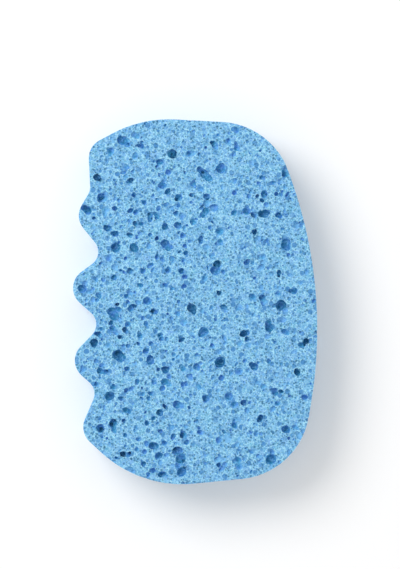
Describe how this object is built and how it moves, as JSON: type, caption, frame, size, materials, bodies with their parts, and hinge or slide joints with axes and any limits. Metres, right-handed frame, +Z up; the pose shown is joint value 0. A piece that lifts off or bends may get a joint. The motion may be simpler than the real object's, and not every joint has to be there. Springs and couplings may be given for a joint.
{
  "type": "cleaning sponge",
  "caption": "Flat cellulose cleaning sponge with a wavy finger-grip side and a rounded far side, open pores on every face.",
  "frame": {"origin": "middle of the base, at the centre of the part's box", "axes": "+Y along the length towards the end with the shallow grip, +X towards the rounded side, +Z up through the thickness"},
  "size_m": [0.0977, 0.146, 0.025],
  "materials": {
    "cellulose_foam": "matt open-cell cellulose foam, dyed light blue"
  },
  "bodies": {
    "root": {"sponge": "cellulose_foam"}
  },
  "joints": []
}
